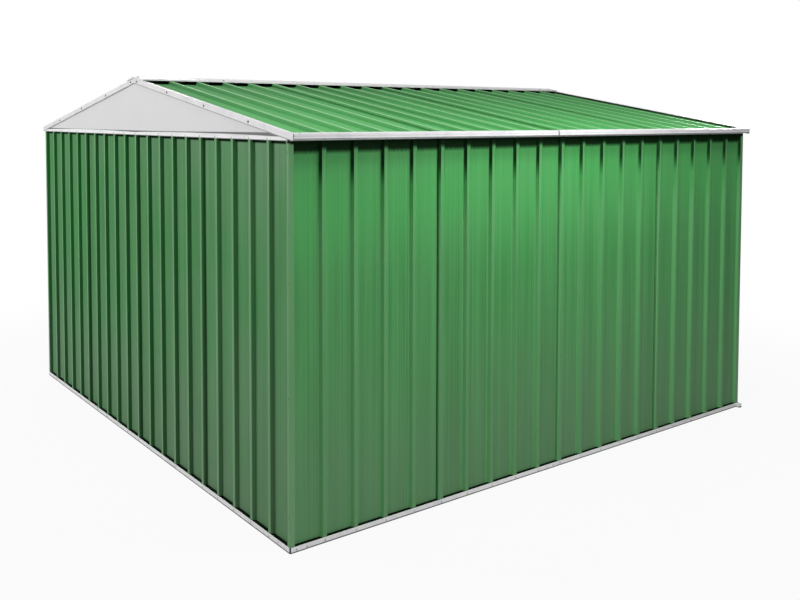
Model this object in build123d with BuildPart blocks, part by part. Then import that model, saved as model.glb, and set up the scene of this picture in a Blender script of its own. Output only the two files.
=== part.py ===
from build123d import *
import math
import os

# Metal storage shed: ribbed steel sheets in white edge channels under a low gable roof.
# Millimetres, +Z up, origin on the ground at the middle of the square plan. The ridge runs
# along X. The front and back walls carry the eaves, the left and right walls carry the gables,
# and the right gable end holds the pair of doors.

# Ribbed sheet
rib_pitch = 170.0
rib_crest = 22.0
rib_flank = 8.0
rib_depth = 17.0
bays_per_sheet = 5
sheets_per_wall = 4
sheet_gauge = 1.0
lap_lip = 9.0
lap_spring = 2.5

# Walls and their edge channels
wall_height = 1810.0
corner_return = 24.0
channel_gauge = 1.5
base_lip = 26.0
top_lip = 17.0
base_corner_gap = 5.0
base_tail = 25.0
top_corner_gap = 9.0
splice_plate_length = 78.0
splice_place = 1630.0

# Gables
gable_upstand = 22.0
gable_lap = 100.0
gable_seam = 79.0
gable_bow = 7.0

# Roof
roof_pitch = 9.6
eave_overhang = 44.0
ridge_gap = 8.0
barge_face = 31.0
barge_leg = 20.0
apex_tab = 30.0
trim_face = 21.0
trim_leg = 24.0
trim_hem = 7.0
trim_slit = 3.0
trim_lap = 40.0
cap_flange = 98.0
cap_lip = 8.0
cap_overhang = 4.0
butt_gap = 2.5
beam_width = 80.0
beam_depth = 60.0

# Doors
jamb_width = 30.0
stile_width = 25.0
leaf_gap = 3.0
door_bays = 4
handle_height = 950.0
handle_length = 130.0
handle_width = 16.0
handle_gauge = 2.0
handle_foot = 22.0

# Seats
clearance = 0.3

# Sizes that follow from the ones above
pitch_angle = math.radians(roof_pitch)
step = sheet_gauge + clearance
wall_bays = bays_per_sheet * sheets_per_wall
wall_length = wall_bays * rib_pitch + rib_crest
half = wall_length / 2
flank_angle = math.atan2(rib_flank, rib_depth)
lap_foot = step / math.cos(flank_angle)
lap_crest = lap_foot - step * math.tan(flank_angle)
channel_outer = half + clearance + channel_gauge
wall_base = -half + step + rib_depth
slot_back = wall_base + sheet_gauge + clearance
sheet_bottom = channel_gauge + clearance
sheet_top = wall_height - channel_gauge - clearance
sheet_height = sheet_top - sheet_bottom
trim_plane = half + eave_overhang
barge_inner = channel_outer + clearance
barge_outer = barge_inner + channel_gauge
barge_seat = rib_depth + clearance
cap_seat = barge_seat + channel_gauge + clearance
tail_start = channel_outer + clearance + sheet_gauge + clearance
roof_end = trim_plane - channel_gauge - clearance - rib_depth * math.sin(pitch_angle)
roof_sheet_length = (roof_end - ridge_gap) / math.cos(pitch_angle)

# Each wall's sheets are drawn on a plane whose X runs along the wall from the corner where
# the laps start and whose -Y points outwards. Each channel is drawn on a section plane whose
# X points into the shed and whose Y points up.
wall_planes = {
    "front": Plane((0, 0, sheet_bottom), x_dir=(1, 0, 0), z_dir=(0, 0, 1)),
    "back": Plane((0, 0, sheet_bottom), x_dir=(-1, 0, 0), z_dir=(0, 0, 1)),
    "left": Plane((0, 0, sheet_top), x_dir=(0, 1, 0), z_dir=(0, 0, -1)),
    "right": Plane((0, 0, sheet_top), x_dir=(0, -1, 0), z_dir=(0, 0, -1)),
}
outward = {"front": (0, -1, 0), "back": (0, 1, 0), "left": (-1, 0, 0), "right": (1, 0, 0)}
gable_walls = ("left", "right")
door_side = "right"
eave_walls = ("front", "back")

os.makedirs("parts", exist_ok=True)


def write(part, name):
    """Label one finished piece and write it."""
    part.label = name
    export_step(part, f"parts/{name}.step")


def rib_at(x, base, depth=rib_depth, lift=0.0):
    """Foot, crest, crest and foot of one rib, lifted where it laps over another."""
    foot = lap_foot * lift / step
    crest = lap_crest * lift / step
    top = base - depth - lift
    return [
        (x - rib_flank - foot, base),
        (x - crest, top),
        (x + rib_crest + crest, top),
        (x + rib_crest + rib_flank + foot, base),
    ]


def lap_edge(x, base):
    """The free edge of a sheet, sprung open from the flank of the rib it covers."""
    foot, crest = (Vector(*point) for point in rib_at(x, base, lift=step)[:2])
    down = foot - crest
    edge = crest + down * (lap_lip / (rib_depth + step))
    return tuple(edge + down.normalized().rotate(Axis.Z, 90) * lap_spring)[:2]


def sheet_outline(number, base, head=None, tail=None, corner_lift=0.0):
    """Outer face of one sheet. head and tail end the first and last rib of the whole wall."""
    first = -half + number * bays_per_sheet * rib_pitch
    last = first + bays_per_sheet * rib_pitch
    is_first = number == 0
    is_last = number == sheets_per_wall - 1
    opening = rib_at(first, base, lift=corner_lift if is_first else step)
    closing = rib_at(last, base, lift=corner_lift if is_last else 0.0)
    start = head if is_first else [lap_edge(first, base), opening[1]]
    end = tail if is_last else [closing[2]]
    middle = []
    for bay in range(1, bays_per_sheet):
        middle += rib_at(first + bay * rib_pitch, base)
    return start + opening[2:] + middle + closing[:2] + end


def inner_face(points, gauge):
    """The same fold line moved a gauge to its left, with sharp corners."""
    folds = [Vector(*point) for point in points]
    runs = [(b - a).normalized() for a, b in zip(folds, folds[1:])]
    runs = [runs[0], *runs, runs[-1]]
    moved = []
    for fold, before, after in zip(folds, runs, runs[1:]):
        bisector = (before + after).normalized().rotate(Axis.Z, 90)
        moved.append(fold + bisector * (gauge / before.rotate(Axis.Z, 90).dot(bisector)))
    return moved


def folded(points, gauge, plane, length):
    """A strip folded along these points, its gauge to their left, and drawn out to a length."""
    with BuildPart() as strip:
        with BuildSketch(plane):
            with BuildLine():
                Polyline(*points, *reversed(inner_face(points, gauge)), close=True)
            make_face()
        extrude(amount=length)
    return strip.part


def section_plane(side, start):
    """Section across one wall, looking along it, at a distance from its middle."""
    inward = Vector(*outward[side]) * -1
    along = inward.cross(Vector(0, 0, 1))
    return Plane(along * start, x_dir=inward, z_dir=along)


def mitre_wedge(side, gap):
    """The space that one wall's channel may fill, mitred short of both corners."""
    reach = 2 * half
    with BuildPart() as wedge:
        with BuildSketch(Plane((0, 0, 0), x_dir=outward[side], z_dir=(0, 0, 1))):
            with BuildLine():
                Polyline((gap, 0), (reach + gap, reach), (reach + gap, -reach), close=True)
            make_face()
        extrude(amount=reach)
    return wedge.part


def tail_space(side):
    """Where a base channel carries on past both of its corners, outside the other channels."""
    out = Plane((0, 0, 0), x_dir=outward[side], z_dir=(0, 0, 1))
    strip = half + clearance
    reach = 2 * half
    end = channel_outer + base_tail
    with BuildPart() as space:
        with BuildSketch(out):
            with BuildLine():
                Polyline(
                    (0, -end), (reach, -end), (reach, end), (0, end), (0, tail_start),
                    (strip, tail_start), (strip, -tail_start), (0, -tail_start),
                    close=True,
                )
            make_face()
        extrude(amount=reach)
    return space.part


def channel_space(side):
    """The space that one wall's base channel may fill: the doorway's one runs past its corners."""
    with BuildPart() as space:
        add(mitre_wedge(side, base_corner_gap))
        if side == door_side:
            add(tail_space(side))
    return space.part


def pan_underside(distance):
    """Height of the roof pans' underside at a distance from the ridge line."""
    return wall_height + clearance + (channel_outer - distance) * math.tan(pitch_angle)


def above_pans(distance, lift):
    """Height of a face parallel to the slope, a lift above the top of the roof pans."""
    return pan_underside(distance) + (sheet_gauge + lift) / math.cos(pitch_angle)


def under_crest(distance):
    """Height of the gable sheets' top edge, inside the end ribs of the roof."""
    return above_pans(distance, rib_depth - step)


def gable_plane(side, depth):
    """Plane of a gable end seen from outside, a depth inside its outer face."""
    out = Vector(*outward[side])
    return Plane(out * (half - depth), x_dir=Vector(0, 0, 1).cross(out), z_dir=out)


def gable_triangle(reach):
    """Everything below the gable sheets' top edge, out to a reach from the middle."""
    return [
        (-reach, -reach),
        (-reach, under_crest(reach)),
        (0, under_crest(0)),
        (reach, under_crest(reach)),
        (reach, -reach),
    ]


def roof_plane(side):
    """Section of one slope at its eave end: X along the eave, -Y out of the roof."""
    out = Vector(*outward[side])
    up_slope = out * -math.cos(pitch_angle) + Vector(0, 0, math.sin(pitch_angle))
    eave = out * roof_end + Vector(0, 0, above_pans(roof_end, 0))
    return Plane(eave, x_dir=wall_planes[side].x_dir, z_dir=up_slope)


def slab(side, near, far, width=2 * wall_length):
    """The space between two distances from the ridge line on one side, up to a width."""
    with BuildPart() as space:
        with BuildSketch(Plane((0, 0, 0), x_dir=outward[side], z_dir=(0, 0, 1))):
            with Locations((near, 0)):
                Rectangle(far - near, 2 * width, align=(Align.MIN, Align.CENTER))
        extrude(amount=wall_length)
    return space.part


def tab_over_ridge(line, slope):
    """The short end of a barge that carries on down the other slope from the ridge."""
    with BuildPart() as tab:
        add(folded(line, channel_gauge, roof_plane(slope), wall_length))
        add(slab(slope, 0, apex_tab), mode=Mode.INTERSECT)
    return tab.part


def eave_sheet_outline(number):
    """Eave wall: the end ribs tuck behind the gable walls' corner returns."""
    crest = wall_base - rib_depth
    return sheet_outline(number, wall_base, [(-half + step, crest)], [(half - step, crest)])


def gable_sheet_outline(number):
    """Gable wall: the end ribs run to the corner and fold round it."""
    head = [(-half, -half + corner_return), (-half, -half)]
    tail = [(half, -half), (half, -half + corner_return)]
    return sheet_outline(number, wall_base, head, tail, corner_lift=step)


# Wall sheets, with those between the end ones of the right gable end left out for the doors
for side in outward:
    outline = gable_sheet_outline if side in gable_walls else eave_sheet_outline
    for number in range(sheets_per_wall):
        if side == door_side and 0 < number < sheets_per_wall - 1:
            continue
        sheet = folded(outline(number), sheet_gauge, wall_planes[side], sheet_height)
        write(sheet, f"{side}_wall_sheet_{number + 1}")


# Channels round the foot of the walls: the eave walls' ones are in two lengths, with a plate
# riveted over the joint and another over the end beside the corner where the laps start
lip_face = -half - clearance
plate_face = -channel_outer - clearance
for side in outward:
    with BuildPart() as base_channel:
        line = [
            (slot_back, base_lip),
            (slot_back, channel_gauge),
            (lip_face, channel_gauge),
            (lip_face, base_lip),
        ]
        add(folded(line, channel_gauge, section_plane(side, -wall_length), 2 * wall_length))
        add(channel_space(side), mode=Mode.INTERSECT)
        if side in eave_walls:
            joint = splice_place - half
            with BuildSketch(section_plane(side, joint)):
                with Locations((-half, 0)):
                    Rectangle(4 * base_lip, 4 * base_lip)
            extrude(amount=butt_gap, mode=Mode.SUBTRACT)
            for start in (-half + base_corner_gap, joint - splice_plate_length / 2):
                with BuildSketch(section_plane(side, start)):
                    with Locations((plate_face, clearance)):
                        Rectangle(sheet_gauge, base_lip, align=(Align.MAX, Align.MIN))
                extrude(amount=splice_plate_length)
    write(base_channel.part, f"{side}_base_channel")

# Channels over the head of the walls: those of the gable ends have an upstand that backs
# the gable sheets, cut to the slope of the roof
for side in outward:
    on_gable = side in gable_walls
    with BuildPart() as top_channel:
        lip_end = wall_height - top_lip
        underside = wall_height - channel_gauge
        line = [
            (lip_face, lip_end),
            (lip_face, underside),
            (slot_back, underside),
            (slot_back, lip_end),
        ]
        add(folded(line, channel_gauge, section_plane(side, -wall_length), 2 * wall_length))
        if on_gable:
            with BuildSketch(section_plane(side, -half)):
                with Locations((-half + 2 * step, wall_height)):
                    Rectangle(channel_gauge, gable_upstand, align=(Align.MIN, Align.MIN))
            extrude(amount=wall_length)
            with BuildSketch(gable_plane(side, wall_length)):
                with BuildLine():
                    Polyline(*gable_triangle(wall_length), close=True)
                make_face()
            extrude(amount=2 * wall_length, mode=Mode.INTERSECT)
        gap = top_corner_gap if on_gable else base_corner_gap
        add(mitre_wedge(side, gap), mode=Mode.INTERSECT)
    write(top_channel.part, f"{side}_top_channel")

# Gable sheets, flat, two to each end and lapped beside the middle. The one on the side where
# the wall's laps start lies outside, and each bows up a little between its fixings.
for side in gable_walls:
    with BuildPart() as gable_sheets:
        for start, end, depth in (
            (-half, gable_seam, sheet_gauge),
            (gable_seam - gable_lap, half, sheet_gauge + step),
        ):
            foot = wall_height + clearance
            with BuildSketch(gable_plane(side, depth)):
                with BuildLine():
                    ThreePointArc(
                        (-start, foot), (-(start + end) / 2, foot + gable_bow), (-end, foot)
                    )
                    Polyline(
                        (-end, foot),
                        (-end, under_crest(abs(end))),
                        (0, under_crest(0)),
                        (-start, under_crest(abs(start))),
                        (-start, foot),
                    )
                make_face()
            extrude(amount=sheet_gauge)
    write(gable_sheets.part, f"{side}_gable_sheets")

# Roof sheets, their ribs in line with those of the eave walls
for side in eave_walls:
    for number in range(sheets_per_wall):
        head = [(-half, -rib_depth)]
        tail = [(half, -rib_depth)]
        line = sheet_outline(number, 0, head, tail)
        sheet = folded(line, sheet_gauge, roof_plane(side), roof_sheet_length)
        write(sheet, f"{side}_roof_sheet_{number + 1}")

# Ridge beam under both slopes, between the gable sheets
with BuildPart() as ridge_beam:
    reach = beam_width / 2
    shoulder = pan_underside(reach) - clearance
    line = [
        (reach, shoulder - beam_depth),
        (reach, shoulder),
        (0, pan_underside(0) - clearance),
        (-reach, shoulder),
        (-reach, shoulder - beam_depth),
    ]
    beam_end = half - step - sheet_gauge - clearance
    along_ridge = Plane((-beam_end, 0, 0), x_dir=(0, 1, 0), z_dir=(1, 0, 0))
    add(folded(line, channel_gauge, along_ridge, 2 * beam_end))
write(ridge_beam.part, "ridge_beam")

# Barge angles up the verges. At each gable the one opposite the starting corner carries on
# over the ridge by a short tab, and the other one butts against it.
leg_end = trim_plane - channel_gauge - clearance
for gable in gable_walls:
    for slope in eave_walls:
        other = "back" if slope == "front" else "front"
        has_tab = (gable == "left") == (slope == "back")
        line = [
            (barge_leg - barge_outer, -barge_seat),
            (-barge_inner, -barge_seat),
            (-barge_inner, barge_face - channel_gauge - barge_seat),
        ]
        mirrored = [(-x, y) for x, y in reversed(line)]
        with BuildPart() as barge:
            add(folded(mirrored if has_tab else line, channel_gauge, roof_plane(slope), wall_length))
            ridge_end = 0 if has_tab else apex_tab + butt_gap
            add(slab(slope, ridge_end, trim_plane), mode=Mode.INTERSECT)
            add(slab(slope, leg_end, wall_length, half), mode=Mode.SUBTRACT)
            if has_tab:
                add(tab_over_ridge(line, other))
        write(barge.part, f"{gable}_{slope}_barge")

# Ridge cap over both slopes. Its lips are turned down along both edges, over the ribs and the
# barges, and at both ends in front of the barges' faces.
with BuildPart() as ridge_cap:
    flange_seat = cap_seat + cap_lip - channel_gauge
    line = [
        (-cap_flange, above_pans(cap_flange, cap_seat)),
        (-cap_flange, above_pans(cap_flange, flange_seat)),
        (0, above_pans(0, flange_seat)),
        (cap_flange, above_pans(cap_flange, flange_seat)),
        (cap_flange, above_pans(cap_flange, cap_seat)),
    ]
    cap_end = barge_outer + cap_overhang
    over_barges = Plane((-cap_end, 0, 0), x_dir=(0, 1, 0), z_dir=(1, 0, 0))
    add(folded(line, channel_gauge, over_barges, 2 * cap_end))
    for end in (over_barges, over_barges.offset(2 * cap_end - channel_gauge)):
        with BuildSketch(end):
            with BuildLine():
                Polyline(*line, (0, above_pans(0, cap_seat)), close=True)
            make_face()
        extrude(amount=channel_gauge)
write(ridge_cap.part, "ridge_cap")

# Eave trims, each in two lengths: the one away from the starting corner laps over the other
for side in eave_walls:
    with BuildPart() as eave_trim:
        for start, end, lift in (
            (trim_slit - barge_inner, trim_lap, 0),
            (0, barge_inner - trim_slit, channel_gauge + clearance),
        ):
            face = channel_gauge - trim_plane - lift
            top = above_pans(-face, cap_seat + lift)
            foot = above_pans(trim_plane, cap_seat) - trim_face - lift
            leg = face + trim_leg
            line = [
                (face + trim_hem, foot),
                (face, foot),
                (face, top),
                (leg, above_pans(-leg, cap_seat + lift)),
            ]
            add(folded(line, channel_gauge, section_plane(side, start), end - start))
    write(eave_trim.part, f"{side}_eave_trim")

# Doorway in the right gable end, in the place of its two middle sheets. Measures along the
# wall run from the corner where its laps start.
sheet_cover = bays_per_sheet * rib_pitch
door_plane = wall_planes[door_side]
door_back = slot_back - clearance
doorway_start = -half + sheet_cover + rib_crest + clearance
next_sheet = half - rib_crest - sheet_cover
doorway_end = lap_edge(next_sheet, wall_base)[0] - clearance

with BuildPart() as door_jambs:
    for start in (doorway_start, doorway_end - jamb_width):
        line = [
            (start, door_back),
            (start, -half),
            (start + jamb_width, -half),
            (start + jamb_width, door_back),
        ]
        add(folded(line, channel_gauge, door_plane, sheet_height))
write(door_jambs.part, "door_jambs")

# Door leaves: a ribbed sheet in a frame of channels, with its ribs behind the frame's front
leaf_start = doorway_start + jamb_width + leaf_gap
leaf_width = (doorway_end - jamb_width - leaf_gap - leaf_start - leaf_gap) / 2
leaf_starts = (leaf_start, leaf_start + leaf_width + leaf_gap)
door_base = door_back - channel_gauge - clearance - sheet_gauge
door_rib_depth = door_base - (-half + channel_gauge + clearance)
door_face = gable_plane(door_side, 0)
leaf_middle = sheet_bottom + sheet_height / 2

with BuildPart() as door_frames:
    frame_depth = door_back + half
    for start in leaf_starts:
        centre = (-start - leaf_width / 2, leaf_middle)
        with BuildSketch(door_face):
            with Locations(centre):
                Rectangle(leaf_width, sheet_height)
                Rectangle(
                    leaf_width - 2 * stile_width, sheet_height - 2 * stile_width, mode=Mode.SUBTRACT
                )
        extrude(amount=-frame_depth)
        with BuildSketch(door_face.offset(-channel_gauge)):
            with Locations(centre):
                Rectangle(leaf_width - 2 * channel_gauge, sheet_height - 2 * channel_gauge)
        extrude(amount=2 * channel_gauge - frame_depth, mode=Mode.SUBTRACT)
write(door_frames.part, "door_frames")

for number, start in enumerate(leaf_starts):
    side_gap = channel_gauge + clearance
    first_rib = start + (leaf_width - door_bays * rib_pitch - rib_crest) / 2
    line = [(start + side_gap, door_base)]
    for rib in range(door_bays + 1):
        line += rib_at(first_rib + rib * rib_pitch, door_base, door_rib_depth)
    line.append((start + leaf_width - side_gap, door_base))
    panel_plane = door_plane.offset(side_gap)
    panel = folded(line, sheet_gauge, panel_plane, sheet_height - 2 * side_gap)
    write(panel, f"door_sheet_{number + 1}")

# Pull handles, one in the first full pan beside the meeting stiles of each leaf
with BuildPart() as door_handles:
    low = handle_height - handle_length / 2
    high = handle_height + handle_length / 2
    foot = door_base - clearance
    grip = -half + handle_gauge
    last_pan = (door_bays - 1) * rib_pitch / 2
    for start, shift in zip(leaf_starts, (last_pan, -last_pan)):
        middle = start + leaf_width / 2 + shift
        line = [
            (foot, low),
            (foot, low + handle_foot),
            (grip, low + handle_foot),
            (grip, high - handle_foot),
            (foot, high - handle_foot),
            (foot, high),
        ]
        place = -middle - handle_width / 2
        add(folded(line, handle_gauge, section_plane(door_side, place), handle_width))
write(door_handles.part, "door_handles")
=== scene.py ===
import bpy
import bmesh
import math
from mathutils import Matrix, Vector


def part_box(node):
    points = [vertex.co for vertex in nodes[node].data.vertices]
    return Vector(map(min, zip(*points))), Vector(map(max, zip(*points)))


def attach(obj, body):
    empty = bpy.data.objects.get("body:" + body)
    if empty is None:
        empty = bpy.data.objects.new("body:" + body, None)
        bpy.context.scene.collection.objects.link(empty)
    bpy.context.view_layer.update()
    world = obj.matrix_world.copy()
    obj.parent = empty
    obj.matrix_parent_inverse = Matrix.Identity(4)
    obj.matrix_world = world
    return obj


# Looks of the metal storage shed: painted ribbed sheets, white edge channels and trims, and the
# rivets and screws that hold them. Metres, in the frame of the CAD model. The front (-Y) carries
# the near eave, the left (-X) the near gable.

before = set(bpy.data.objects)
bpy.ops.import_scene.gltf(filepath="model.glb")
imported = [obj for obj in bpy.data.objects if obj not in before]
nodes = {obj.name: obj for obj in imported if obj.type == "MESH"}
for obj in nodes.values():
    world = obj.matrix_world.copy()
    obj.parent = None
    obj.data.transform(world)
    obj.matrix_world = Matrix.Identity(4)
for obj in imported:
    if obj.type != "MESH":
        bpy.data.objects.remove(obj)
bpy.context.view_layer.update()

# Camera, where the photograph's was. Its focal length and the place where its axis meets the
# picture are in pixels of the 800 by 600 photograph.
photo_width, photo_height = 800, 600
focal_pixels = 907.3
axis_pixel_across = 378.4
axis_pixel_down = 162.1
camera_place = Vector((-3.6999, -5.0307, 1.8901))
camera_yaw = math.radians(53.421)
camera_pitch = math.radians(-2.760)
camera_roll = math.radians(0.072)

forward = Vector(
    (
        math.cos(camera_yaw) * math.cos(camera_pitch),
        math.sin(camera_yaw) * math.cos(camera_pitch),
        math.sin(camera_pitch),
    )
)
level = Vector((math.sin(camera_yaw), -math.cos(camera_yaw), 0))
upward = level.cross(forward)
right = math.cos(camera_roll) * level + math.sin(camera_roll) * upward
up = math.cos(camera_roll) * upward - math.sin(camera_roll) * level

lens = bpy.data.cameras.new("camera")
lens.sensor_width = 36
lens.lens = lens.sensor_width * focal_pixels / photo_width
lens.shift_x = (photo_width / 2 - axis_pixel_across) / photo_width
lens.shift_y = (axis_pixel_down - photo_height / 2) / photo_width
camera = bpy.data.objects.new("camera", lens)
turn = Matrix((right, up, -forward)).transposed().to_4x4()
camera.matrix_world = Matrix.Translation(camera_place) @ turn
bpy.context.scene.collection.objects.link(camera)
bpy.context.scene.camera = camera
bpy.context.scene.view_settings.view_transform = "Standard"

# Sizes of the sheets, as the CAD model has them
rib_pitch = 0.170
rib_crest = 0.022
rib_flank = 0.008
rib_depth = 0.017
bays_per_sheet = 5
sheets_per_wall = 4
bays_per_wall = bays_per_sheet * sheets_per_wall
sheet_cover = bays_per_sheet * rib_pitch
half = -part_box("left_wall_sheet_1")[0].y
lap_edge_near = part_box("front_wall_sheet_2")[0].x + half
lap_edge_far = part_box("back_wall_sheet_2")[1].x + half - (sheets_per_wall - 1) * sheet_cover
pan_middle = rib_crest + (rib_pitch - rib_crest) / 2
pan_half = pan_middle - rib_crest - rib_flank
crest_edge = pan_half + rib_flank
pan_face = half - rib_depth

# How far from the middle of a pan the painted shade at the rib roots and their crests begin
root_range = (pan_half - 0.012, pan_half + 0.002)
crest_range = (crest_edge - 0.001, crest_edge + 0.003)

# Sizes of the channels and trims
base_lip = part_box("left_base_channel")[1].z
wall_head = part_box("front_top_channel")[1].z
top_lip = wall_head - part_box("front_top_channel")[0].z
lip_foot = wall_head - top_lip
roof_pitch = math.radians(9.6)
slope = math.tan(roof_pitch)
barge_face = 0.031
barge_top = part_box("left_back_barge")[1].z
barge_edge = barge_top - barge_face / math.cos(roof_pitch)
leg_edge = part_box("right_front_barge")[0].x
cap_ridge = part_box("ridge_cap")[1].z
cap_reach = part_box("ridge_cap")[1].y
trim_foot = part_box("front_eave_trim")[0].z
trim_splice = -0.0825

# Sockets of a Mix node for colours, whose names it also gives to its sockets for other values
mix_share, mix_base, mix_top, mix_result = 0, 6, 7, 2


class Value:
    """A shader socket that takes part in arithmetic."""

    def __init__(self, finish, socket):
        self.finish = finish
        self.socket = socket

    def maths(self, operation, *rest):
        return self.finish.node("ShaderNodeMath", {"operation": operation}, self, *rest)

    def at_least(self, other):
        """The greater of this value and another."""
        return self.maths("MAXIMUM", other)

    def __abs__(self):
        return self.maths("ABSOLUTE")

    def __add__(self, other):
        return self.maths("ADD", other)

    def __sub__(self, other):
        return self.maths("SUBTRACT", other)

    def __rsub__(self, other):
        return self.finish.node("ShaderNodeMath", {"operation": "SUBTRACT"}, other, self)

    def __mul__(self, other):
        return self.maths("MULTIPLY", other)

    def __truediv__(self, other):
        return self.maths("DIVIDE", other)

    __radd__ = __add__


class Finish:
    """The nodes of a material, or of the room, under construction."""

    def __init__(self, owner):
        owner.use_nodes = True
        self.owner = owner
        self.tree = owner.node_tree
        self.tree.nodes.clear()

    def feed(self, made, sockets):
        """Link or set sockets of a node."""
        for key, value in sockets.items():
            if isinstance(value, Value):
                self.tree.links.new(value.socket, made.inputs[key])
            else:
                made.inputs[key].default_value = value

    def node(self, kind, settings=None, *values, output=0, **named):
        """One node: its settings first, then its sockets by place or by name."""
        made = self.tree.nodes.new(kind)
        for key, value in (settings or {}).items():
            setattr(made, key, value)
        self.feed(made, dict(enumerate(values)))
        self.feed(made, {key.replace("_", " "): value for key, value in named.items()})
        return Value(self, made.outputs[output])

    def place(self):
        """The point on the object."""
        return self.node("ShaderNodeTexCoord", output="Object")

    def axes(self, point):
        """The three coordinates of a point."""
        return [self.node("ShaderNodeSeparateXYZ", None, point, output=axis) for axis in "XYZ"]

    def mix(self, base, top, share):
        """One colour over another by a share."""
        made = self.tree.nodes.new("ShaderNodeMix")
        made.data_type = "RGBA"
        self.feed(made, {mix_share: share, mix_base: base, mix_top: top})
        return Value(self, made.outputs[mix_result])

    def grain(self, point, scale, detail, roughness=0.5, dimensions="3D"):
        """Noise from 0 to 1 at so many features to the metre."""
        where = {"W": point} if dimensions == "1D" else {"Vector": point}
        return self.node(
            "ShaderNodeTexNoise",
            {"noise_dimensions": dimensions},
            Scale=scale, Detail=detail, Roughness=roughness, **where,
        )

    def stretched(self, point, x, y, z):
        """The point with its coordinates scaled one by one."""
        return self.node("ShaderNodeVectorMath", {"operation": "MULTIPLY"}, point, (x, y, z))

    def step(self, value, low, high, start=0.0, end=1.0):
        """A smooth change from start to end as the value goes from low to high."""
        return self.node(
            "ShaderNodeMapRange", {"interpolation_type": "SMOOTHSTEP"}, value, low, high, start, end
        )

    def bump(self, height, distance, strength):
        """Surface normals from a height of 0 to 1 that stands for a distance in metres."""
        return self.node("ShaderNodeBump", None, strength, distance, Height=height)

    def enamel(self, **sockets):
        """A shader, from the values of its sockets."""
        return self.node("ShaderNodeBsdfPrincipled", None, **sockets)

    def done(self, shader, kind="ShaderNodeOutputMaterial"):
        """The material or the room, now that its shader is ready."""
        out = self.tree.nodes.new(kind)
        self.tree.links.new(shader.socket, out.inputs[0])
        return self.owner


def new_finish(name):
    return Finish(bpy.data.materials.new(name))


def shade(red, green, blue):
    """A colour from its eight-bit display values."""
    def linear(channel):
        part = channel / 255
        return part / 12.92 if part <= 0.04045 else ((part + 0.055) / 1.055) ** 2.4
    return (linear(red), linear(green), linear(blue), 1)


# Colours that dust, painted light and painted shade give to the green sheets
dust = shade(112, 131, 110)
crest_highlight_green = shade(142, 196, 142)
painted_glow_green = shade(80, 190, 98)
lit_root_green = shade(104, 178, 112)
eave_glow_green = shade(98, 196, 110)
ridge_dark_green = shade(58, 92, 62)
root_shade_green = shade(12, 84, 32)
darker_painted_shade = shade(9, 18, 10)
paler_painted_shade = shade(14, 26, 15)

# Colours of scuffs on the white trims, and of their seams and painted shade
scuffed_white = shade(206, 206, 210)
shade_and_seam_grey = shade(92, 93, 96)


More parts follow.
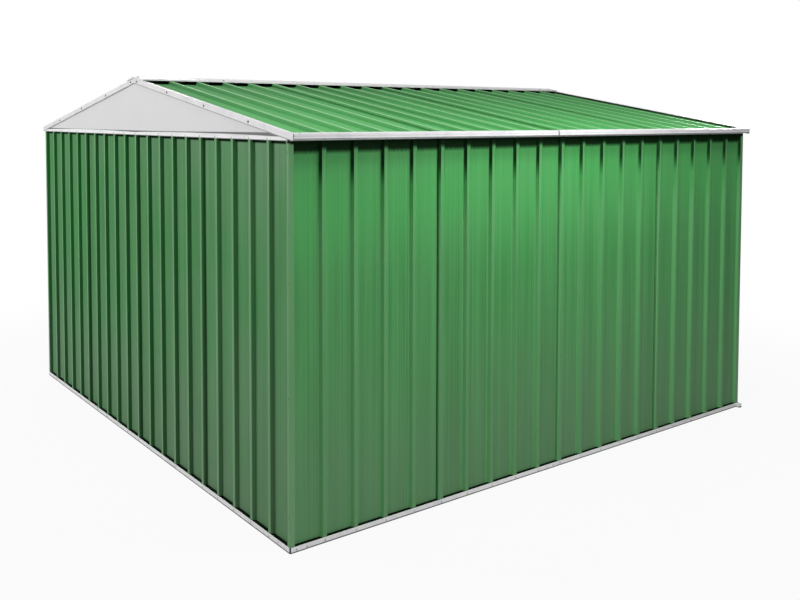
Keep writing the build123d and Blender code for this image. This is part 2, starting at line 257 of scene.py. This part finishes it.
class RibbedSheet(Finish):
    """Green baked enamel on ribbed sheet. The ribs are spaced along one axis and run down another.
    The two walls or slopes that it covers face out along an axis, one each way."""

    def __init__(self, name, along, down, facing):
        super().__init__(bpy.data.materials.new(name))
        self.point = self.place()
        axes = dict(zip("xyz", self.axes(self.point)))
        self.along = along
        self.across = axes[along]
        self.down = axes[down]
        self.side = axes[facing]
        self.from_corner = self.across + half
        # Fine drawn lines run down every pan
        self.drawn = self.grain(self.across, scale=105, detail=3, roughness=0.6, dimensions="1D")
        self.patches = self.grain(self.point, scale=2.3, detail=4, roughness=0.6)
        # Each sheet came from its own coil
        coil_seed = 3.0
        coil = (self.from_corner / sheet_cover).maths("FLOOR")
        self.coil_shade = self.node(
            "ShaderNodeTexWhiteNoise", {"noise_dimensions": "1D"}, W=coil + coil_seed
        )
        # Masks of the crests and of the roots of the ribs
        self.from_rib = (self.from_corner / rib_pitch).maths("FRACT") * rib_pitch
        self.from_pan_middle = abs(self.from_rib - pan_middle)
        self.crest = self.step(self.from_pan_middle, *crest_range)
        self.root = self.step(self.from_pan_middle, *root_range) * (1.0 - self.crest)

    def paint(self, deep, light):
        """The paint's colour, streaked by its lines and a little lighter or darker by the coil."""
        scale_across, scale_down = 22, 1.2
        scales = (scale_across if axis == self.along else scale_down for axis in "xyz")
        broad = self.grain(self.across, scale=21, detail=1.5, dimensions="1D")
        waves = self.grain(self.stretched(self.point, *scales), scale=1, detail=2)
        lightness = self.drawn * 0.44 + broad * 0.22 + waves * 0.28 + self.coil_shade * 0.06
        return self.mix(shade(*deep), shade(*light), self.step(lightness, 0.28, 0.72))

    def greyed_foot(self):
        """Greyer towards the foot of a wall."""
        greyed_height = 1.2
        strength = 0.42
        return self.step(self.down, 0.0, greyed_height, strength, 0.0)

    def dusted_and_highlighted(self, paint, dusty, crest_highlight, greyed_foot=None):
        """Paint with dust in patches, and with a painted highlight on its crests."""
        clean_patch, dusty_patch = 0.50 - dusty, 0.85
        share = self.step(self.patches, clean_patch, dusty_patch, 0.0, dusty)
        if greyed_foot is not None:
            share = share + greyed_foot
        return self.mix(self.mix(paint, dust, share), crest_highlight_green, self.crest * crest_highlight)

    def lap_shadow_lines(self):
        """Painted shadow of the free edge of every lap, a dark line at the foot of its rib. It lies on
        one side of the rib on the front and the left, and on the other side on the back and the right."""
        core, rim = 0.0010, 0.0026
        strength = 0.8
        farthest_lap = 1.6
        in_sheet = (self.from_corner / sheet_cover).maths("FRACT") * sheet_cover
        far_side = self.side.maths("GREATER_THAN", 0.0)
        lap_edge = lap_edge_near + far_side * (lap_edge_far - lap_edge_near)
        line = self.step(abs(in_sheet - lap_edge), core, rim, strength, 0.0)
        # The corners have no lap
        line = line * self.from_corner.maths("COMPARE", half, farthest_lap)
        return line * (0.5 + self.coil_shade * 0.5)

    def pans(self):
        """A wall's pans, told from its crests by how far out they lie."""
        flank_range = (pan_face + 0.004, half - 0.003)
        return self.step(abs(self.side), *flank_range, 1.0, 0.0)

    def base_slot_shadow(self):
        """Painted shade in the slot behind the base channel's lip."""
        slot_shadow_height = 0.003
        strength = 0.95
        return self.step(self.down, base_lip, base_lip + slot_shadow_height, strength, 0.0)

    def relief(self):
        """Bumps: the thin sheet is never quite flat, and its pans sweep up in a cove to the roots of
        the ribs, whose crests are rounded."""
        cove_width = 0.034
        pillow = self.grain(self.stretched(self.point, 3.2, 3.2, 1.5), scale=1, detail=1)
        cove = self.node(
            "ShaderNodeMapRange", None, self.from_pan_middle, pan_half - cove_width, pan_half, 0.0, 1.0
        )
        from_crest_middle = abs(self.from_rib - rib_crest / 2) / (rib_crest / 2)
        dome = (1.0 - from_crest_middle * from_crest_middle).at_least(0.0)
        height = self.drawn * 0.06 + pillow * 0.54 + cove * cove * 0.5 + dome * self.crest * 0.4
        return self.bump(height, distance=0.006, strength=1)

    def with_painted_shade(self, paint, painted_shadow, lap, painted_root_shade):
        """The finished sheet: glossy paint, and matt dark paint where painted shadow, lap shadows
        and painted shade at the rib roots cover it.
        """
        enamel = self.enamel(
            Base_Color=paint,
            Roughness=0.32 + self.patches * 0.16 + self.drawn * 0.05,
            Specular_IOR_Level=0.35,
            Normal=self.relief(),
        )
        # Painted shade at the rib roots alone lets the green through
        shade_colour = self.mix(darker_painted_shade, paler_painted_shade, self.patches)
        dull = self.enamel(
            Base_Color=self.mix(shade_colour, root_shade_green, painted_root_shade * (1.0 - painted_shadow) * (1.0 - lap)),
            Roughness=0.9,
            Specular_IOR_Level=0.0,
        )
        cover = painted_shadow.at_least(lap).at_least(painted_root_shade)
        return self.done(self.node("ShaderNodeMixShader", None, cover, enamel, dull))


def eave_wall_sheet():
    """Sheets of the front and back walls, which the eaves shade."""
    root_lightening, root_shade_share = 0.75, 0.3
    sheet = RibbedSheet("green_eave_wall_sheet", along="x", down="z", facing="y")
    # Painted light: a lighter copy of the gable walls' green, in place of lamp light
    paint = sheet.paint(deep=(61, 132, 68), light=(86, 165, 96))
    # Painted light: high on the wall the paint is brighter and greener, a painted pool of light
    glow_range = (1.05, 1.6)
    glow_share = 0.42
    paint = sheet.mix(paint, painted_glow_green, sheet.step(sheet.down, *glow_range, 0.0, glow_share))
    paint = sheet.dusted_and_highlighted(paint, dusty=0.14, crest_highlight=0.12, greyed_foot=sheet.greyed_foot())
    # Painted light: the roots of the ribs are painted paler lower than 0.25 m under the wall head, to
    # lift their shade
    lit_root_range = (wall_head - 0.45, wall_head - 0.25)
    rubbed_and_lit = sheet.step(sheet.down, *lit_root_range, root_lightening, 0.0)
    paint = sheet.mix(paint, lit_root_green, sheet.root * rubbed_and_lit)
    # Painted shade, faint, at the roots of the ribs
    painted_root_shade = sheet.root * (1.0 - root_lightening) * root_shade_share
    # Painted shadow hangs from the eave, lower in the pans and ragged along the drawn lines, and
    # ends in a fainter band
    shadow_depth, pan_depth, ragged_depth = 0.070, 0.014, 0.014
    shadow_fade, shadow_strength = 0.036, 0.97
    faint_below, faint_above, faint_strength = 0.08, 0.01, 0.26
    foot = wall_head - shadow_depth - sheet.pans() * pan_depth - sheet.drawn * ragged_depth
    shadow_band = sheet.step(sheet.down, foot, foot + shadow_fade, 0.0, shadow_strength)
    faint = sheet.step(sheet.down, foot - faint_below, foot + faint_above, 0.0, faint_strength)
    # The painted shadow runs on down the roots of the ribs
    run_sides = (pan_half - 0.004, pan_half + 0.003)
    run_heights = (wall_head - 0.27, wall_head - 0.12)
    run_strength = 0.92
    run = sheet.step(sheet.from_pan_middle, *run_sides, 0.0, run_strength)
    run = run * (1.0 - sheet.crest) * sheet.step(sheet.down, *run_heights)
    painted_shadow = shadow_band.at_least(faint).at_least(run).at_least(sheet.base_slot_shadow())
    return sheet.with_painted_shade(paint, painted_shadow, sheet.lap_shadow_lines(), painted_root_shade)


def gable_wall_sheet():
    """Sheets of the left and right walls and of the doors."""
    root_shade_share = 0.8
    sheet = RibbedSheet("green_gable_wall_sheet", along="y", down="z", facing="x")
    paint = sheet.paint(deep=(54, 120, 60), light=(77, 152, 87))
    paint = sheet.dusted_and_highlighted(paint, dusty=0.3, crest_highlight=0.3, greyed_foot=sheet.greyed_foot())
    # Painted shade lies at the roots of the ribs, more of it towards the back
    near_shade, far_shade = 0.45, 1.0
    painted_root_shade = sheet.root * sheet.step(sheet.across, -half, 0.0, near_shade, far_shade) * root_shade_share
    # Painted shadow lies in the pans under the top channel's lip, and from there up in the corners
    pan_shadow_range, pan_shadow_strength = (lip_foot - 0.018, lip_foot - 0.010), 0.97
    corner_range, corner_strength = (half - 0.013, half - 0.010), 0.95
    corner_foot = (lip_foot - 0.012, lip_foot - 0.008)
    shadow_band = sheet.step(sheet.down, *pan_shadow_range, 0.0, pan_shadow_strength) * sheet.pans()
    corner = sheet.step(abs(sheet.across), *corner_range, 0.0, corner_strength)
    corner = corner * sheet.step(sheet.down, *corner_foot)
    painted_shadow = shadow_band.at_least(corner).at_least(sheet.base_slot_shadow())
    return sheet.with_painted_shade(paint, painted_shadow, sheet.lap_shadow_lines(), painted_root_shade)


def roof_sheet():
    """Sheets of both slopes, whose ribs run down from the ridge."""
    root_shade_share, lap_shadow_share = 0.16, 0.05
    sheet = RibbedSheet("green_roof_sheet", along="x", down="y", facing="y")
    from_ridge = abs(sheet.down)
    # Painted light: a lighter copy of the gable walls' green, in place of lamp light
    paint = sheet.paint(deep=(66, 142, 73), light=(92, 176, 102))
    # Darker towards the ridge, and brighter towards the eave, where light is painted
    ridge_dark_range, ridge_dark_share = (0.1, 1.0), 0.3
    eave_glow_range, eave_glow_share = (0.8, 1.7), 0.4
    paint = sheet.mix(paint, ridge_dark_green, sheet.step(from_ridge, *ridge_dark_range, ridge_dark_share, 0.0))
    paint = sheet.mix(paint, eave_glow_green, sheet.step(from_ridge, *eave_glow_range, 0.0, eave_glow_share))
    paint = sheet.dusted_and_highlighted(paint, dusty=0.14, crest_highlight=0.8)
    # Painted shadow lies under the ridge cap and along the legs of the barges
    cap_range = (cap_reach, cap_reach + 0.012)
    leg_range, leg_strength = (leg_edge - 0.0118, leg_edge - 0.0098), 0.95
    under_cap = sheet.step(from_ridge, *cap_range, 1.0, 0.0)
    by_leg = sheet.step(abs(sheet.across), *leg_range, 0.0, leg_strength)
    painted_shadow = (under_cap * (1.0 - sheet.crest)).at_least(by_leg)
    return sheet.with_painted_shade(paint, painted_shadow, sheet.lap_shadow_lines() * lap_shadow_share, sheet.root * root_shade_share)


def painted_trim(
    name, bands, pitched=False, splice=None, paler=(246, 246, 246), darker=(226, 227, 230)
):
    """White baked enamel on a folded strip. Grey bands of painted shade run along its folds, each
    from a height to a height with its strength, and a dark seam may show where two lengths of it lap."""
    band_edge = 0.001
    seam_core, seam_rim = 0.0038, 0.0048
    finish = new_finish(name)
    point = finish.place()
    across, along, height = finish.axes(point)
    cloud = finish.grain(point, scale=9, detail=5, roughness=0.62)
    rubbed_and_lit = finish.grain(finish.stretched(point, 3, 3, 90), scale=1, detail=3)
    paint = finish.mix(shade(*paler), shade(*darker), finish.step(cloud, 0.42, 0.72))
    paint = finish.mix(paint, scuffed_white, finish.step(rubbed_and_lit, 0.58, 0.80, 0, 0.35))
    level = height + abs(along) * slope if pitched else height
    for low, high, strength in bands:
        band = finish.step(level, low - band_edge, low, 0.0, strength)
        band = band * finish.step(level, high, high + band_edge, 1.0, 0.0)
        paint = finish.mix(paint, shade_and_seam_grey, band)
    if splice is not None:
        seam = finish.step(abs(across - splice), seam_core, seam_rim, 1.0, 0.0)
        paint = finish.mix(paint, shade_and_seam_grey, seam)
    return finish.done(finish.enamel(
        Base_Color=paint,
        Roughness=0.34 + cloud * 0.12,
        Normal=finish.bump(cloud * 0.3 + rubbed_and_lit * 0.7, distance=0.0008, strength=0.5),
    ))


def gable_sheet():
    """Off-white enamel on flat sheet, with the faint swells of thin metal."""
    finish = new_finish("off_white_flat_sheet")
    point = finish.place()
    across, along, height = finish.axes(point)
    cloud = finish.grain(point, scale=4, detail=5, roughness=0.6)
    drawn = finish.grain(along, scale=60, detail=3, roughness=0.6, dimensions="1D")
    paint = finish.mix(shade(226, 226, 226), shade(213, 213, 214), cloud * 0.6 + drawn * 0.4)
    # Painted shadow fills the slit over the top channel's lip, which opens towards the near corner
    widest_opening, opening_end = 0.009, -0.1 * half
    slit_range = (wall_head + 0.008, wall_head + 0.010)
    opening = finish.step(along, -half, opening_end, widest_opening, 0.0)
    slit_shadow = finish.step(height - opening, *slit_range, 1.0, 0.0)
    paint = finish.mix(paint, shade_and_seam_grey, slit_shadow)
    swell = finish.grain(finish.stretched(point, 2, 3.5, 2), scale=1, detail=1)
    return finish.done(finish.enamel(
        Base_Color=paint,
        Roughness=0.38 + cloud * 0.12,
        Normal=finish.bump(swell * 0.94 + drawn * 0.06, distance=0.006, strength=0.5),
    ))


def galvanised_beam():
    """Zinc with its spangle."""
    finish = new_finish("galvanised_ridge_beam")
    point = finish.place()
    spangle = finish.node(
        "ShaderNodeTexVoronoi", {"feature": "F1"}, Vector=point, Scale=70, output="Color"
    )
    crystal = finish.node("ShaderNodeSeparateColor", None, spangle)
    cloud = finish.grain(point, scale=30, detail=4)
    zinc = finish.mix(shade(150, 153, 158), shade(196, 198, 202), crystal * 0.7 + cloud * 0.3)
    return finish.done(finish.enamel(
        Base_Color=zinc,
        Metallic=0.85,
        Roughness=0.34 + crystal * 0.18,
        Normal=finish.bump(cloud, distance=0.0004, strength=0.4),
    ))


def fastener_metal(name, dark, light, roughness):
    """Plated heads with small scuffs."""
    finish = new_finish(name)
    scuff = finish.grain(finish.place(), scale=420, detail=4, roughness=0.65)
    metal = finish.mix(dark, light, finish.step(scuff, 0.35, 0.7))
    return finish.done(finish.enamel(
        Base_Color=metal,
        Metallic=0.6,
        Roughness=roughness + scuff * 0.2,
        Normal=finish.bump(scuff, distance=0.0002, strength=0.5),
    ))


def handle_plastic():
    """Black moulded plastic with a fine grained skin."""
    finish = new_finish("black_grained_plastic")
    point = finish.place()
    skin = finish.node("ShaderNodeTexVoronoi", {"feature": "SMOOTH_F1"}, Vector=point, Scale=900)
    wear = finish.grain(point, scale=60, detail=5)
    plastic = finish.mix(shade(30, 30, 32), shade(52, 52, 54), finish.step(wear, 0.45, 0.8))
    return finish.done(finish.enamel(
        Base_Color=plastic,
        Roughness=0.42 + wear * 0.15,
        Normal=finish.bump(skin, distance=0.0003, strength=0.5),
    ))


eave_wall_green = eave_wall_sheet()
gable_wall_green = gable_wall_sheet()
roof_green = roof_sheet()

# Grey bands of painted shade on the trims: from a height, to a height, strength
base_foot_band = (0.001, 0.0055, 0.95)
base_lip_band = (0.0, base_lip, 0.06)
top_lip_band = (lip_foot, lip_foot + 0.0025, 0.8)
eave_foot_band = (trim_foot, trim_foot + 0.004, 0.95)
eave_fold_band = (trim_foot + 0.012, trim_foot + 0.017, 0.16)
verge_foot_band = (barge_edge, barge_edge + 0.0035, 0.7)
door_foot_band = (0.0, 0.006, 0.5)

base_white = painted_trim(
    "white_base_channel",
    [base_foot_band, base_lip_band],
    paler=(252, 252, 252),
    darker=(236, 237, 240),
)
top_white = painted_trim("white_top_channel", [top_lip_band])
# Painted shade: a darker copy of the white paint, against the strong light on the eave trims
eave_white = painted_trim(
    "white_eave_trim",
    [eave_foot_band, eave_fold_band],
    splice=trim_splice,
    paler=(232, 231, 233),
    darker=(218, 218, 221),
)
verge_white = painted_trim(
    "white_verge_trim",
    [verge_foot_band],
    pitched=True,
    paler=(232, 230, 232),
    darker=(216, 214, 216),
)
door_white = painted_trim("white_door_trim", [door_foot_band])
off_white = gable_sheet()
zinc = galvanised_beam()
plastic = handle_plastic()
rivet_metal = fastener_metal("rivet_aluminium", shade(150, 152, 155), shade(206, 207, 210), 0.3)
green_head = fastener_metal("green_rivet_paint", shade(62, 128, 72), shade(92, 160, 100), 0.35)
screw_metal = fastener_metal("screw_zinc_dark", shade(30, 31, 33), shade(78, 79, 82), 0.4)

# The finish of each CAD node, by the first of these words that its name holds. The verge's goes on
# the rest, which are the barges and the ridge cap.
finishes = {
    "gable_sheets": off_white,
    "roof_sheet": roof_green,
    "front_wall": eave_wall_green,
    "back_wall": eave_wall_green,
    "wall_sheet": gable_wall_green,
    "door_sheet": gable_wall_green,
    "base_channel": base_white,
    "top_channel": top_white,
    "eave_trim": eave_white,
    "ridge_beam": zinc,
    "handles": plastic,
    "door_": door_white,
}
for name in nodes:
    slots = nodes[name].data.materials
    slots.clear()
    slots.append(next((finishes[word] for word in finishes if word in name), verge_white))

# Heads of the fasteners, as half outlines from the rim to the middle: radius and height in
# millimetres
millimetre = 0.001
rivet_dome = ((4.0, 0.0), (3.9, 0.5), (3.1, 1.1), (1.9, 1.4), (1.2, 1.4), (1.0, 0.8), (0.0, 0.8))
washer_rim = ((6.0, 0.0), (6.0, 0.5), (5.2, 0.9), (4.4, 0.9))
hexagon = ((4.4, 0.9), (4.2, 2.6), (3.4, 3.1), (0.0, 3.1))
rivet_sides = 14
washer_sides = 18
hexagon_sides = 6
screw_turn = 0.7


def turned(mesh, outline, sides, place, outwards, spin=0.0):
    """One head, turned round the direction that it faces."""
    stand = Vector(outwards).to_track_quat("Z", "Y").to_matrix()
    rings = []
    for radius, height in outline:
        count = sides if radius else 1
        ring = []
        for corner in range(count):
            angle = spin + 2 * math.pi * corner / sides
            local = Vector((radius * math.cos(angle), radius * math.sin(angle), height))
            ring.append(mesh.verts.new(Vector(place) + stand @ local * millimetre))
        rings.append(ring)
    for low, high in zip(rings, rings[1:]):
        for corner in range(sides):
            after = (corner + 1) % sides
            if len(high) == 1:
                mesh.faces.new((low[corner], low[after], high[0]))
            else:
                mesh.faces.new((low[corner], low[after], high[after], high[corner]))


def fasteners(name, kind, places, material):
    """Rivet or screw heads at places, each with the direction that it faces, as one piece."""
    mesh = bmesh.new()
    for number, (place, outwards) in enumerate(places):
        if kind == "rivet":
            turned(mesh, rivet_dome, rivet_sides, place, outwards)
        else:
            turned(mesh, washer_rim, washer_sides, place, outwards)
            turned(mesh, hexagon, hexagon_sides, place, outwards, spin=screw_turn * number)
    data = bpy.data.meshes.new(name)
    mesh.to_mesh(data)
    mesh.free()
    if kind == "rivet":
        data.polygons.foreach_set("use_smooth", [True] * len(data.polygons))
    data.materials.append(material)
    piece = bpy.data.objects.new(name, data)
    bpy.context.scene.collection.objects.link(piece)
    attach(piece, "root")


outward = {"front": (0, -1, 0), "back": (0, 1, 0), "left": (-1, 0, 0), "right": (1, 0, 0)}


def on_wall(side, run, height, reach):
    """A point of a wall: run from the corner where its laps start, height, and reach outwards."""
    along = run - half
    return {
        "front": (along, -reach, height),
        "back": (-along, reach, height),
        "left": (-reach, along, height),
        "right": (reach, -along, height),
    }[side]


def crest_middle(rib):
    return rib * rib_pitch + rib_crest / 2


def roof_tilt(way):
    """The direction that the front (-1) or back (1) slope of the roof faces."""
    return (0, way * math.sin(roof_pitch), math.cos(roof_pitch))


lip_face = -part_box("left_base_channel")[0].x
plate_face = -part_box("front_base_channel")[0].y
barge_outer = -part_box("left_back_barge")[0].x

# Rivets of the walls: through every rib into the base channel and the top channel, down the laps,
# and down the corners of the gable walls. The laps are counted from the corner where they start.
lap_heights = {1: (0.590,), 2: (0.608, 1.130), 3: (0.625, 1.194)}
corner_heights = (0.156, 0.680, 1.180, 1.745)
corner_inset = 0.008
end_plate_runs = (0.032, 0.085)
splice_runs = (1.605, 1.655)
gable_end_runs = (0.046, 0.105)
base_rivet_height = base_lip * 0.5
top_rivet_height = wall_head - top_lip * 0.55

for side, facing in outward.items():
    ribs = range(bays_per_wall + 1)
    if side == "right":
        # The doors take the place of the two middle sheets
        ribs = [*range(bays_per_sheet + 1), *range(bays_per_wall - bays_per_sheet, bays_per_wall + 1)]
    low = [
        (on_wall(side, crest_middle(rib), base_rivet_height, lip_face), facing) for rib in ribs[1:]
    ]
    if side in ("front", "back"):
        for run in (*end_plate_runs, *splice_runs):
            low.append((on_wall(side, run, base_rivet_height, plate_face), facing))
    else:
        for run in gable_end_runs:
            low.append((on_wall(side, run, base_rivet_height, lip_face), facing))
    fasteners(f"{side}_base_rivets", "rivet", low, rivet_metal)
    head = [(on_wall(side, crest_middle(rib), top_rivet_height, lip_face), facing) for rib in ribs]
    fasteners(f"{side}_top_rivets", "rivet", head, rivet_metal)
    seams = [
        (on_wall(side, crest_middle(lap * bays_per_sheet), height, half), facing)
        for lap, heights in lap_heights.items()
        for height in heights
        if lap * bays_per_sheet in ribs
    ]
    if side in ("left", "right"):
        for run in (corner_inset, 2 * half - corner_inset):
            seams += [(on_wall(side, run, height, half), facing) for height in corner_heights]
    fasteners(f"{side}_seam_rivets", "rivet", seams, green_head)

# Screws of the barges, by their runs from the ridge: through the faces, and near the ridge through
# the legs that lie on the roof
barge_face_runs = (0.047, 0.459, 0.905, 1.361)
barge_leg_runs = (0.125, 0.165)
barge_leg_inset = 0.009
barge_middle = barge_top - barge_face / 2 / math.cos(roof_pitch)

for side in ("left", "right"):
    screws = []
    for run in barge_face_runs:
        for way in (-1, 1):
            place = on_wall(side, half + way * run, barge_middle - run * slope, barge_outer)
            screws.append((place, outward[side]))
    leg_middle = barge_outer - barge_leg_inset
    for run in barge_leg_runs:
        for way in (-1, 1):
            place = on_wall(side, half + way * run, barge_top - run * slope, leg_middle)
            screws.append((place, roof_tilt(math.copysign(1, place[1]))))
    fasteners(f"{side}_barge_screws", "screw", screws, screw_metal)

# Screws of the ridge cap, through its flanges and its ends, and of the eave trims near their ends
cap_screw_ribs = (3, 19)
cap_screw_run = 0.088
cap_end_run = 0.024
cap_end_inset = 0.012
trim_screw_reach = 1.675
trim_screw_inset = 0.013
trim_screw_drop = 0.0045
trim_screw_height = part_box("front_eave_trim")[1].z - trim_screw_drop

cap_screws = []
trim_screws = []
for way, side in ((-1, "front"), (1, "back")):
    tilt = roof_tilt(way)
    for rib in cap_screw_ribs:
        x = way * (half - crest_middle(rib))
        cap_screws.append(((x, way * cap_screw_run, cap_ridge - cap_screw_run * slope), tilt))
        x = math.copysign(half - cap_end_inset, x)
        cap_screws.append(((x, way * cap_end_run, cap_ridge - cap_end_run * slope), tilt))
    low_corner, high_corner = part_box(f"{side}_eave_trim")
    trim_reach = high_corner.y if way > 0 else -low_corner.y
    for x in (-trim_screw_reach, trim_screw_reach):
        trim_screws.append(((x, way * (trim_reach - trim_screw_inset), trim_screw_height), tilt))
fasteners("ridge_cap_screws", "screw", cap_screws, screw_metal)
fasteners("eave_trim_screws", "rivet", trim_screws, screw_metal)

# Floor and background. The camera sees them white, apart from a soft trace of the shed's shadow.
# The light they give to the shed is plain and weaker, also in its reflections.
near_share = 0.93
shadow_reach = (2.6, 5.0)
floor_shade = 0.4
floor_reach = 60
room_strength = 0.20
glossy_strength = 0.35

floor = new_finish("pale_floor")
seen = floor.node("ShaderNodeLightPath", output="Is Camera Ray")
plain = floor.node("ShaderNodeBsdfDiffuse", None, (floor_shade, floor_shade, floor_shade, 1))
white = floor.node("ShaderNodeEmission", None, (1, 1, 1, 1), 1.0)
point = floor.place()
x, y = floor.axes(point)[:2]
from_middle = floor.node("ShaderNodeVectorMath", {"operation": "LENGTH"}, point, output="Value")
outside = abs(x).at_least(abs(y)).maths("GREATER_THAN", half)
share = floor.step(from_middle, *shadow_reach, near_share, 1.0) * outside
floor.done(floor.node("ShaderNodeMixShader", None, seen * share, plain, white))
mesh = bpy.data.meshes.new("floor")
corners = [
    (-floor_reach, -floor_reach, 0),
    (floor_reach, -floor_reach, 0),
    (floor_reach, floor_reach, 0),
    (-floor_reach, floor_reach, 0),
]
mesh.from_pydata(corners, [], [(0, 1, 2, 3)])
mesh.materials.append(floor.owner)
ground = bpy.data.objects.new("floor", mesh)
bpy.context.scene.collection.objects.link(ground)

room = Finish(bpy.data.worlds.new("room"))
bpy.context.scene.world = room.owner
camera_ray = room.node("ShaderNodeLightPath", output="Is Camera Ray")
glossy_ray = room.node("ShaderNodeLightPath", output="Is Glossy Ray")
transmission_ray = room.node("ShaderNodeLightPath", output="Is Transmission Ray")
clear = camera_ray.at_least(glossy_ray * glossy_strength).at_least(transmission_ray)
background = room.node("ShaderNodeBackground", None, (1, 1, 1, 1), clear.at_least(room_strength))
room.done(background, "ShaderNodeOutputWorld")


def softbox(name, place, target, width, power):
    """A square area lamp that faces its target."""
    lamp = bpy.data.lights.new(name, "AREA")
    lamp.shape = "SQUARE"
    lamp.size = width
    lamp.energy = power
    piece = bpy.data.objects.new(name, lamp)
    direction = Vector(target) - Vector(place)
    turn = direction.to_track_quat("-Z", "Y").to_matrix().to_4x4()
    piece.matrix_world = Matrix.Translation(place) @ turn
    bpy.context.scene.collection.objects.link(piece)


softbox("front_softbox", (-0.1, -3.05, 2.45), (-0.1, -1.7, 1.65), width=0.7, power=22)
softbox("low_softbox", (-1.9, -5.8, 0.7), (0.3, -1.7, 0.3), width=0.9, power=42)
softbox("gable_softbox", (-5.7, 3.0, 2.8), (-1.7, -0.2, 1.0), width=1.2, power=132)
softbox("near_gable_softbox", (-5.6, -0.9, 2.2), (-1.7, -0.8, 1.0), width=1.2, power=44)
softbox("roof_softbox", (-1.9, -2.2, 6.5), (0, 0, 2), width=2.5, power=212)
softbox("right_softbox", (6.4, 0.8, 2.8), (1.7, 0.0, 1.0), width=1.6, power=190)
softbox("back_softbox", (0.8, 6.4, 3.0), (0.0, 1.7, 1.0), width=1.6, power=190)
